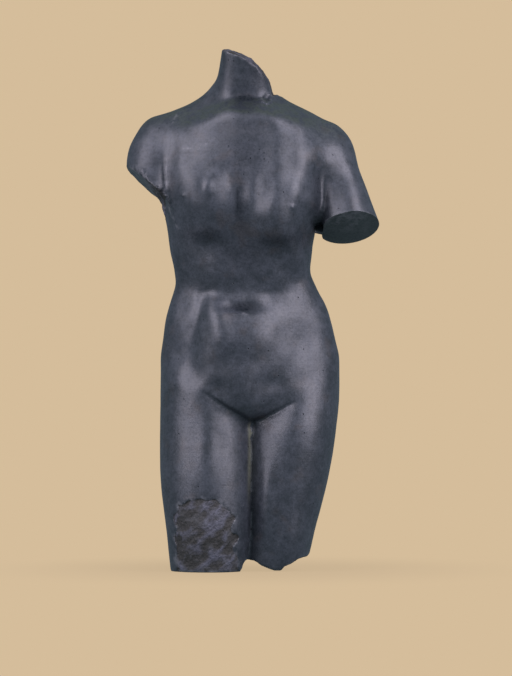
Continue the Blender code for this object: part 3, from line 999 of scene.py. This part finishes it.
class Shader:
    """The node tree of a material or of the surroundings, built from expressions."""

    def __init__(self, owner: bpy.types.Material | bpy.types.World) -> None:
        """Start with the nodes that a new owner has."""
        owner.use_nodes = True
        self.owner, self.tree = owner, owner.node_tree

    def node(
        self, kind: str, settings: dict | None = None, inputs: dict | None = None, output: Any = 0
    ) -> Wire:
        """Add a node.

        Args:
            kind: the node's type.
            settings: attributes of the node, set first.
            inputs: values or wires of its sockets, by index or name.
            output: which output to return.

        Returns:
            The wire from that output.
        """
        made = self.tree.nodes.new(kind)
        for name, value in (settings or {}).items():
            setattr(made, name, value)
        for key, value in (inputs or {}).items():
            self.join(made.inputs[key], value)
        return Wire(self, made.outputs[output])

    def join(self, socket: Any, value: Any) -> None:
        """Feed a socket.

        Args:
            socket: the socket.
            value: a wire, or the value that it is set to.
        """
        if isinstance(value, Wire):
            self.tree.links.new(value.socket, socket)
        else:
            socket.default_value = value

    def feed(self, name: str, **values: Any) -> Wire:
        """Feed sockets of a node that is already there.

        Args:
            name: the node's name.
            values: values or wires by the sockets' names, an underscore standing for a space.

        Returns:
            The wire from its first output, or from nothing where it has none.
        """
        standing = self.tree.nodes[name]
        for key, value in values.items():
            self.join(standing.inputs[key.replace("_", " ")], value)
        return Wire(self, standing.outputs[0] if standing.outputs else None)

    def here(self) -> Wire:
        """Object coordinates."""
        return self.node("ShaderNodeTexCoord", output="Object")

    def cloud(
        self, size: float, detail: float = 3.0, rough: float = 0.55, stretch: tuple = (1, 1, 1)
    ) -> Wire:
        """Cloudy noise.

        Args:
            size: the size of its features in metres.
            detail: how many finer layers it has.
            rough: how strong the finer layers are.
            stretch: how much faster it changes along each axis.

        Returns:
            Values between 0 and 1.
        """
        drawn = self.node("ShaderNodeMapping", None, {"Vector": self.here(), "Scale": stretch})
        sockets = {"Vector": drawn, "Scale": 1 / size, "Detail": detail, "Roughness": rough}
        return self.node("ShaderNodeTexNoise", None, sockets)

    def spots(self, cell: float, radius: float, share: float | Wire, shift: tuple = (0, 0, 0)) -> Wire:
        """Scattered round spots.

        Args:
            cell: the size of the cells that hold one spot each, in metres.
            radius: the radius of a spot as a share of the cell.
            share: the share of cells that have a spot.
            shift: moves the pattern, so that two patterns differ.

        Returns:
            1 inside the spots and 0 outside.
        """
        moved = self.node("ShaderNodeVectorMath", {"operation": "ADD"}, {0: self.here(), 1: shift})
        near = self.node("ShaderNodeTexVoronoi", None, {"Vector": moved, "Scale": 1 / cell})
        tint = Wire(self, near.socket.node.outputs["Color"])
        chance = self.node("ShaderNodeSeparateColor", None, {0: tint})
        return near.over(radius, radius * 0.5) * chance.below(share)

    def layer(self, name: str) -> Wire:
        """A value painted on the piece."""
        return self.node("ShaderNodeAttribute", {"attribute_name": name}, output="Fac")

    def mix(self, share: Any, a: Any, b: Any) -> Wire:
        """Mix two colours.

        Args:
            share: how much of the second there is, from 0 to 1.
            a: the first colour.
            b: the second colour.

        Returns:
            The colour between them.
        """
        a, b = (value if isinstance(value, Wire) else (*value, 1.0) for value in (a, b))
        settings = {"data_type": "RGBA", "clamp_factor": True}
        return self.node("ShaderNodeMix", settings, {0: share, 6: a, 7: b}, output=2)

    def mix_faces(self, share: Wire, a: Wire, b: Wire) -> Wire:
        """A shader between a and b."""
        return self.node("ShaderNodeMixShader", None, {0: share, 1: a, 2: b})

    def dimmed(self, colour: Wire, factor: Wire) -> Wire:
        """A colour multiplied by a number."""
        return self.node("ShaderNodeVectorMath", {"operation": "SCALE"}, {0: colour, "Scale": factor})


@dataclass(frozen=True)
class Patterns:
    """The patterns and painted layers that colour, gloss and relief of the stone share."""

    mottle: Wire
    grain: Wire
    hairs: Wire
    pits: Wire
    broken: Wire
    dust: Wire
    sawn: Wire


@dataclass(frozen=True)
class StoneFinish:
    """Dark stone with a satin polish, rough where it is broken."""

    deep: tuple = (0.026, 0.031, 0.037)
    pale: tuple = (0.052, 0.058, 0.070)
    brown: tuple = (0.052, 0.042, 0.038)
    green: tuple = (0.036, 0.046, 0.034)
    fresh: tuple = (0.027, 0.024, 0.019)
    crest: tuple = (0.120, 0.120, 0.155)
    sawn: tuple = (0.042, 0.052, 0.050)
    dust: tuple = (0.175, 0.175, 0.120)
    # pale colour of worn rims, scratches and specks, and of painted highlights on rims and ridges
    pale_scar_and_highlight: tuple = (0.150, 0.150, 0.160)
    pit: tuple = (0.006, 0.007, 0.008)
    # dark colour of the painted shade, also laid over speckle and pits
    painted_shade: tuple = (0.012, 0.015, 0.018)
    polish: float = 0.42
    matt: float = 0.42
    refraction: float = 1.62
    cloud_size: float = 0.075
    stain_size: float = 0.042
    mottle_size: float = 0.016
    speckle_size: float = 0.0052
    grain_size: float = 0.0034
    hair_size: float = 0.05
    hair_stretch: tuple = (0.5, 0.5, 22)
    pit_cell: float = 0.0095
    speck_cell: float = 0.022
    speck_shift: tuple = (3.1, 1.7, 5.3)
    relief_height: float = 0.0004
    relief_strength: float = 0.8

    def material(self, arm_cut: Cut) -> bpy.types.Material:
        """Build the material.

        Args:
            arm_cut: the arm's sawn face.

        Returns:
            The material, which reads the layers that the torso is painted with.
        """
        s = Shader(bpy.data.materials.new("dark polished stone"))
        seen = Patterns(
            mottle=s.cloud(self.mottle_size, 5, 0.62),
            grain=s.cloud(self.grain_size, 2, 0.6),
            hairs=s.cloud(self.hair_size, 3, 0.7, self.hair_stretch),
            pits=s.spots(self.pit_cell, 0.17, 0.05 + s.layer("pitted") * 0.42),
            broken=s.layer("broken"),
            dust=s.layer("dust"),
            sawn=self._sawn(s, arm_cut),
        )
        colour = self._dirtied_and_highlit(s, seen, self._polished(s, seen))
        stone = s.feed(
            "Principled BSDF", Base_Color=colour, Roughness=self._roughness(seen),
            Normal=self._relief(s, seen), IOR=self.refraction,
        )
        # A dark diffuse coat, mixed in where shade is painted, and over the speckle and the pits
        dark_for_shade_and_pits = s.node("ShaderNodeBsdfDiffuse", None, {"Color": (*self.painted_shade, 1.0)})
        speckle = s.cloud(self.speckle_size, 3, 0.75).over(0.44, 0.66)
        shade_speckle_and_pits = (s.layer("painted_shade") * 0.8 + speckle * 0.22 + seen.pits * 0.6).capped()
        s.feed("Material Output", Surface=s.mix_faces(shade_speckle_and_pits, stone, dark_for_shade_and_pits))
        return s.owner

    def _polished(self, s: Shader, seen: Patterns) -> Wire:
        """Colour the polished skin and the sawn face.

        Args:
            s: the material's shader.
            seen: its patterns.

        Returns:
            The colour.
        """
        tone = (s.cloud(self.cloud_size, 4, 0.6) * 0.45 + seen.mottle * 0.55).over(0.36, 0.66)
        colour = s.mix(tone, self.deep, self.pale)
        colour = s.mix(s.cloud(self.stain_size, 2).over(0.56, 0.74) * 0.4, colour, self.brown)
        colour = s.mix(s.layer("green") * seen.mottle.over(0.35, 0.6) * 0.8, colour, self.green)
        colour = s.dimmed(colour, 0.60 + seen.grain * 0.80)
        return s.mix(seen.sawn * 0.85, colour, self.sawn)

    def _dirtied_and_highlit(self, s: Shader, seen: Patterns, colour: Wire) -> Wire:
        """Add broken stone, worn edges with painted highlights along them, dust, pits and pale specks.

        Args:
            s: the material's shader.
            seen: its patterns.
            colour: the colour of the polished skin.

        Returns:
            The colour of it all.
        """
        ridge = (s.layer("crest") * 2.3 + seen.mottle * 1.3 - 1.85).capped()
        # Worn edges and pale streaks, partly wear and partly painted highlights on rims and ridges
        wear_and_highlight = (s.layer("wear_and_highlight") * seen.mottle.over(0.42, 0.6)).capped()
        specks = s.spots(self.speck_cell, 0.055, 0.10, self.speck_shift)
        colour = s.mix(seen.broken, colour, s.mix(ridge, self.fresh, self.crest))
        colour = s.mix(wear_and_highlight, colour, self.pale_scar_and_highlight)
        colour = s.mix(seen.dust, colour, self.dust)
        colour = s.mix(seen.pits * (1 - seen.broken), colour, self.pit)
        return s.mix(specks * 0.8, colour, self.pale_scar_and_highlight)

    def _roughness(self, seen: Patterns) -> Wire:
        """Find how matt the stone is, most where it is broken or dusty.

        Args:
            seen: the material's patterns.

        Returns:
            The roughness.
        """
        rough = self.polish + (seen.mottle - 0.5) * 0.22 + (seen.hairs - 0.5) * 0.14
        rough = rough + (seen.grain - 0.5) * 0.10
        unpolished = (seen.broken + seen.sawn * 0.5 + seen.dust).capped()
        return (rough + (self.matt - rough * 0.4) * unpolished).capped()

    def _relief(self, s: Shader, seen: Patterns) -> Wire:
        """Roughen the surface by grain, hair scratches and pits.

        Args:
            s: the material's shader.
            seen: its patterns.

        Returns:
            The normal.
        """
        height = seen.grain * 0.5 + seen.mottle * 0.9 + seen.hairs * 0.35 - seen.pits * 2.0
        sockets = {"Distance": self.relief_height, "Strength": self.relief_strength}
        return s.node("ShaderNodeBump", None, {"Height": height + seen.grain * seen.broken * 2.5, **sockets})

    @staticmethod
    def _sawn(s: Shader, arm_cut: Cut) -> Wire:
        """Find the sawn face of the arm.

        Args:
            s: the material's shader.
            arm_cut: the arm's sawn face.

        Returns:
            1 on it and 0 elsewhere.
        """
        point, facing = np.array(arm_cut.point) * MM, arm_cut.way()
        here = s.here()
        product = {"operation": "DOT_PRODUCT"}
        reach = s.node("ShaderNodeVectorMath", product, {0: here, 1: tuple(facing)}, "Value")
        side, _, height = (s.node("ShaderNodeSeparateXYZ", None, {0: here}, axis) for axis in range(3))
        on_face = (reach - float(point @ facing)).over(-0.0006, -0.0002)
        return on_face * side.over(0.115, 0.118) * height.over(0.57, 0.575)


# ----------------------------------------------------------------------------------------------------
# The torso


@dataclass
class StoneTorso:
    """The one piece of stone, with its breaks, its carving and its finish; lengths in millimetres."""

    name: str = "carved_torso"
    form: TorsoForm = field(default_factory=TorsoForm)
    finish: StoneFinish = field(default_factory=StoneFinish)
    spacing: float = 5.4
    stub: float = 12.0
    weld: float = 1e-5  # in metres
    flat: float = 0.2  # how near to a cut a face of it lies
    faced: float = 0.99  # how straight such a face looks along the cut's way
    margin: float = 4  # what stays unsettled at the end of a stub
    gentlest: float = 0.3  # the least steepness that settling reckons with
    many_sides: tuple = (4, 20)
    groove: tuple = ((-17, -1000, -100), (1, -20, 300))
    carved_reach: float = 3
    rough_reach: float = 1
    shown: float = 0.2  # how strong a mark is where it counts
    break_edge: float = 1.2
    foot_rim: float = 6
    on_cut: float = 0.01
    grain_turn: tuple = ((0.8, 0.6), (-0.6, 0.8))
    grain_stretch: float = 0.45
    ridge_size: float = 30
    ridge_height: float = 3.2
    ridge_level: float = 0.55
    grit_size: float = 4
    grit_height: float = 0.45
    skin_size: float = 26
    skin_height: float = 0.22
    # pale rims along the breaks, partly wear and partly painted highlight, and a painted highlight along the
    # crisp rim of the arm's sawn face
    wear_and_highlight_rim: float = 1.3
    wear_and_highlight_strength: float = 0.8
    arm_rim: float = 1.2
    arm_rim_strength: float = 0.7
    arm_rim_from: tuple = (116, -60)  # it shows further left and further forward than this
    dust_from: float = -55
    lichen_slope: Ease = Ease(0.45, 0.45)
    lichen_level: Ease = Ease(800, 60)
    smooth_angle: float = 40

    def build(self) -> bpy.types.Object:
        """Model, roughen and dress the stone, and hand it to the frame.

        Returns:
            The finished piece.
        """
        bench = self._block()
        self._settle(bench)
        bpy.ops.object.voxel_remesh()
        self._settle(bench)
        for zone in (self._carved, self._rough):
            self._refine(bench, zone)
        self._saw(bench)
        self._roughen(bench)
        self._mark(bench)
        bench.piece.data.materials.clear()
        bench.piece.data.materials.append(self.finish.material(self.form.arm_cut))
        bpy.ops.object.shade_smooth_by_angle(angle=math.radians(self.smooth_angle))
        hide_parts("torso")
        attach(bench.piece, "root")
        return bench.piece

    def _block(self) -> Bench:
        """Copy the plain solid, draw it out past its flat cuts and remesh it evenly.

        Returns:
            The bench with the block on it.
        """
        piece = bpy.data.objects.new(self.name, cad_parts["torso"].data.copy())
        bpy.context.scene.collection.objects.link(piece)
        bench = Bench(piece)
        bench.select(np.ones(len(piece.data.polygons), bool))
        bench.work(lambda: bpy.ops.mesh.remove_doubles(threshold=self.weld))
        for cut in (self.form.foot_cut, self.form.arm_cut):
            middles, normals = bench.centres()
            bench.select((np.abs(cut.above(middles)) < self.flat) & (normals @ cut.way() > self.faced))
            away = tuple(cut.way() * self.stub * MM)
            bench.work(lambda: bpy.ops.mesh.extrude_region_move(TRANSFORM_OT_translate={"value": away}))
        piece.data.remesh_voxel_size = self.spacing * MM
        piece.data.use_remesh_fix_poles = False
        bpy.ops.object.voxel_remesh()
        return bench

    def _beyond_arm(self, p: Points, reach: float) -> np.ndarray:
        """Which points of the left arm lie further out than its cut by this much."""
        return inside(p, self.form.arm_end) & (self.form.arm_cut.above(p) > reach)

    def _settle(self, bench: Bench, rounds: int = 3) -> None:
        """Move the piece's points onto the surface of the form.

        Args:
            bench: the bench with the piece.
            rounds: how often they are moved.
        """
        p = bench.points()
        free = (p[:, 2] > self.margin - self.stub) & ~self._beyond_arm(p, self.stub - self.margin)
        for _ in range(rounds):
            slope = self.form.slope(p[free])
            steep = np.maximum((slope**2).sum(1), self.gentlest)
            p[free] -= (self.form.distance(p[free]) / steep)[:, None] * slope
        bench.move(p)

    def _refine(self, bench: Bench, zone: Callable[[Points], np.ndarray]) -> None:
        """Halve the faces of a zone and settle them.

        Args:
            bench: the bench with the piece.
            zone: says which points lie in the zone.
        """
        chosen = bench.select(zone(bench.centres()[0]))
        LOG.info("made %d faces of %s finer", chosen, self.name)
        bench.work(lambda: bpy.ops.mesh.subdivide(number_cuts=1))
        self._even(bench)
        self._settle(bench)

    def _even(self, bench: Bench) -> None:
        """Split the faces of many sides that are left between fine and coarse, but not the flat cuts.

        Args:
            bench: the bench with the piece.
        """
        sides = np.array([face.loop_total for face in bench.piece.data.polygons])
        bench.select((sides > self.many_sides[0]) & (sides < self.many_sides[1]))
        bench.work(lambda: bpy.ops.mesh.quads_convert_to_tris(quad_method="BEAUTY", ngon_method="BEAUTY"))

    def _saw(self, bench: Bench) -> None:
        """Cut the right thigh and the left arm flat.

        Args:
            bench: the bench with the piece.
        """
        for cut in (self.form.foot_cut, self.form.arm_cut):
            middles, _ = bench.centres()
            bench.select(inside(middles, self.form.arm_end) | (cut is self.form.foot_cut))
            blade = {"plane_co": tuple(np.array(cut.point) * MM), "plane_no": tuple(cut.way())}
            bench.work(lambda: bpy.ops.mesh.bisect(clear_outer=True, threshold=1e-6, **blade))
            bench.work(self._close)

    @staticmethod
    def _close() -> None:
        """Fill the open rims that a saw cut leaves, each with one flat face."""
        bpy.ops.mesh.select_mode(type="EDGE")
        bpy.ops.mesh.select_all(action="DESELECT")
        bpy.ops.mesh.select_non_manifold(extend=False, use_wire=False, use_multi_face=False, use_verts=False)
        bpy.ops.mesh.fill_holes(sides=0)

    def _near_breaks(self, p: Points, places: tuple, reach: float) -> np.ndarray:
        """Find where the stone is broken.

        Args:
            p: points in millimetres.
            places: the breaks that count.
            reach: how far below the surface a break still counts.

        Returns:
            For each point, whether it is near one of the breaks.
        """
        body, breaks = self.form.whole(p)
        return np.any([breaks[place] - body > -reach for place in places], 0)

    def _near_marks(self, p: Points, marks: tuple) -> np.ndarray:
        """Which points on the front lie on one of the marks, whatever its height."""
        strong = modelled(p, tuple(replace(mark, height=1.0) for mark in marks)) > self.shown
        return strong & (p[:, 1] < 0)

    def _carved(self, p: Points) -> np.ndarray:
        """Which points lie by a break, a crease, the groove between the thighs or other small forms."""
        near = self._near_breaks(p, tuple(Break), self.carved_reach) | self._near_marks(p, SHARP_MARKS)
        return near | inside(p, self.groove)

    def _rough(self, p: Points) -> np.ndarray:
        """Which points lie on broken stone or under a fine mark."""
        places = (Break.NECK, Break.STUMP, Break.PATCH)
        return self._near_breaks(p, places, self.rough_reach) | self._near_marks(p, FINE_MARKS + PALE_SCRATCHES_AND_HIGHLIGHTS)

    def _roughen(self, bench: Bench) -> None:
        """Give the breaks their ridges and the polished skin its slight unevenness.

        Args:
            bench: the bench with the piece.
        """
        p = bench.points()
        body, breaks = self.form.whole(p)
        slope = self.form.slope(p)
        slope /= np.maximum(np.linalg.norm(slope, axis=1), 1e-6)[:, None]
        broken = np.max([smooth((value - body) / self.break_edge) for value in breaks.values()], 0)
        broken *= 1 - smooth((self.foot_rim - p[:, 2]) / self.foot_rim)
        sawn = (p[:, 2] < self.on_cut) | self._beyond_arm(p, -self.on_cut)
        rough, skin = (broken > 0.01) & ~sawn, ~(broken > 0.01) & ~sawn
        crest, lift = np.zeros(len(p)), np.zeros(len(p))
        crest[rough] = self._crests(p[rough])
        grit = self.grit_height * fractal(p[rough], self.grit_size, 3)
        lift[rough] = broken[rough] * (self.ridge_height * (crest[rough] - self.ridge_level) + grit)
        lift[skin] = self.skin_height * fractal(p[skin], self.skin_size, 2)
        low, high = (np.array(corner) / MM for corner in CAD_BOX)
        bench.move(np.clip(p + lift[:, None] * slope, low, high))
        bench.paint("broken", broken)
        bench.paint("crest", crest)

    def _crests(self, p: Points) -> Values:
        """Find the ridges of the broken stone, drawn out along its slanting grain.

        Args:
            p: points in millimetres.

        Returns:
            About 0 in the hollows and about 1 on the crests.
        """
        (ux, uz), (vx, vz) = self.grain_turn
        u, v = ux * p[:, 0] + uz * p[:, 2], vx * p[:, 0] + vz * p[:, 2]
        return ridges(np.stack([u * self.grain_stretch, p[:, 1], v], 1), self.ridge_size, 4)

    def _mark(self, bench: Bench) -> None:
        """Paint the layers that the finish reads.

        Args:
            bench: the bench with the piece.
        """
        p = bench.points()
        body, breaks = self.form.whole(p)
        front = in_front(p)
        # Paint pale rims along the breaks and the arm's cut, and pale streaks: partly wear and scratches,
        # partly painted highlights
        rim = np.max([np.exp(-(((value - body) / self.wear_and_highlight_rim) ** 2)) for value in breaks.values()], 0)
        left_of, ahead_of = self.arm_rim_from
        arm_rim = np.exp(-((self.form.arm_cut.above(p) / self.arm_rim) ** 2)) * (p[:, 0] > left_of)
        wear_and_highlight = self.wear_and_highlight_strength * rim * front + modelled(p, PALE_SCRATCHES_AND_HIGHLIGHTS) * front
        wear_and_highlight += self.arm_rim_strength * arm_rim * (p[:, 1] < ahead_of)
        bench.paint("wear_and_highlight", np.clip(wear_and_highlight, 0, 1))
        # Paint shade into the creases and hollows, and over broad parts of the chest and belly
        bench.paint("painted_shade", np.clip(modelled(p, PAINTED_SHADE) * front, 0, 1))
        bench.paint("dust", np.clip(modelled(p, DUST) * (p[:, 1] < self.dust_from), 0, 1))
        bench.paint("pitted", np.clip(modelled(p, PITTED) * front, 0, 1))
        upward = self.lichen_slope.at(self.form.slope(p)[:, 2])
        bench.paint("green", upward * self.lichen_level.at(p[:, 2]))


# ----------------------------------------------------------------------------------------------------
# The studio


@dataclass(frozen=True)
class Softbox:
    """One large soft light, turned towards the middle of the torso."""

    name: str
    azimuth: float
    elevation: float
    distance: float
    size: tuple
    watts: float
    tint: tuple = (1.0, 1.0, 1.0)


@dataclass
class Studio:
    """Floor, lights, surrounding tone and camera; lengths in metres."""

    backdrop: tuple = (0.665, 0.509, 0.328)
    ambient: tuple = (0.52, 0.70, 0.80)
    ambient_strength: float = 0.291
    height_in_view: float = 1.2988
    look_at: tuple = (0.0052, 0.0, 0.4447)
    distance: float = 8.0
    sensor: float = 36.0
    floor_radius: float = 30.0
    floor_drop: float = 0.0005
    paper: tuple = (0.30, 0.23, 0.15)
    shadow_reach: tuple = (0.60, 0.10)
    shadow: float = 0.16
    lit: tuple = (0, 0, 0.55)
    softboxes: tuple = (
        Softbox("softbox_left", -51.7, 28.5, 2.6, (1.78, 2.81), 62, (1.0, 0.93, 1.10)),
        Softbox("softbox_right", 51.7, 28.5, 2.6, (1.78, 2.81), 78, (1.0, 0.93, 1.10)),
    )

    def build(self) -> None:
        """Set up the whole studio, and report each softbox that is hung."""
        self._camera()
        self._floor()
        self._surround()
        for softbox in self.softboxes:
            self._light(softbox)
            LOG.info("hung %s", softbox.name)

    def _camera(self) -> None:
        """Set up a long lens, level with the middle of the view."""
        bpy.ops.object.select_all(action="DESELECT")
        x, y, z = self.look_at
        bpy.ops.object.camera_add(location=(x, y - self.distance, z), rotation=(math.pi / 2, 0, 0))
        camera = bpy.context.object
        camera.data.sensor_fit = "VERTICAL"
        camera.data.sensor_height = self.sensor
        camera.data.lens = self.sensor * self.distance / self.height_in_view
        camera.data.clip_end = 100.0
        bpy.context.scene.camera = camera

    def _floor(self) -> None:
        """A plain floor of the backdrop's tone that takes a soft shadow near the stone."""
        bpy.ops.object.select_all(action="DESELECT")
        sheet = {"vertices": 64, "radius": self.floor_radius, "location": (0, 0, -self.floor_drop)}
        bpy.ops.mesh.primitive_circle_add(fill_type="NGON", **sheet)
        floor = bpy.context.object
        floor.name = "studio_floor"
        bpy.ops.object.transform_apply(location=True)
        floor.data.materials.append(self._paper())
        floor.visible_diffuse = False
        floor.visible_glossy = False

    def _paper(self) -> bpy.types.Material:
        """The floor's material: the backdrop's own tone, with a little shade on it near the stone.

        Returns:
            The material.
        """
        s = Shader(bpy.data.materials.new("backdrop paper"))
        s.tree.nodes.remove(s.tree.nodes["Principled BSDF"])
        away = s.node("ShaderNodeVectorMath", {"operation": "LENGTH"}, {0: s.here()}, "Value")
        glow = s.node("ShaderNodeEmission", None, {"Color": (*self.backdrop, 1.0), "Strength": 1.0})
        paper = s.node("ShaderNodeBsdfDiffuse", None, {"Color": (*self.paper, 1.0)})
        shade = away.over(*self.shadow_reach) * self.shadow
        s.feed("Material Output", Surface=s.mix_faces(shade, glow, paper))
        return s.owner

    def _surround(self) -> None:
        """The backdrop's tone to the eye, and a dim cool room to the stone."""
        s = Shader(bpy.data.worlds.new("studio"))
        room = s.feed("Background", Color=(*self.ambient, 1.0), Strength=self.ambient_strength)
        seen = s.node("ShaderNodeBackground", None, {"Color": (*self.backdrop, 1.0)})
        straight = s.node("ShaderNodeLightPath", output="Is Camera Ray")
        s.feed("World Output", Surface=s.mix_faces(straight, room, seen))
        bpy.context.scene.world = s.owner
        bpy.context.scene.view_settings.view_transform = "Standard"

    def _light(self, softbox: Softbox) -> None:
        """Hang one softbox.

        Args:
            softbox: where it hangs, and how large and bright it is.
        """
        a, e = math.radians(softbox.azimuth), math.radians(softbox.elevation)
        away = Vector((math.sin(a) * math.cos(e), -math.cos(a) * math.cos(e), math.sin(e)))
        bpy.ops.object.select_all(action="DESELECT")
        bpy.ops.object.light_add(type="AREA", location=Vector(self.lit) + away * softbox.distance)
        lamp = bpy.context.object
        lamp.name = softbox.name
        lamp.rotation_euler = away.to_track_quat("Z", "Y").to_euler()
        lamp.data.shape = "RECTANGLE"
        lamp.data.size, lamp.data.size_y = softbox.size
        lamp.data.energy = softbox.watts
        lamp.data.color = softbox.tint
        lamp.visible_camera = False


def main() -> None:
    """Build the studio and the torso, and note how many faces the torso has."""
    logging.basicConfig(level=logging.INFO, format="%(name)s: %(message)s")
    Studio().build()
    piece = StoneTorso().build()
    LOG.info("%s has %d faces", piece.name, len(piece.data.polygons))


if __name__ == "__main__":
    main()
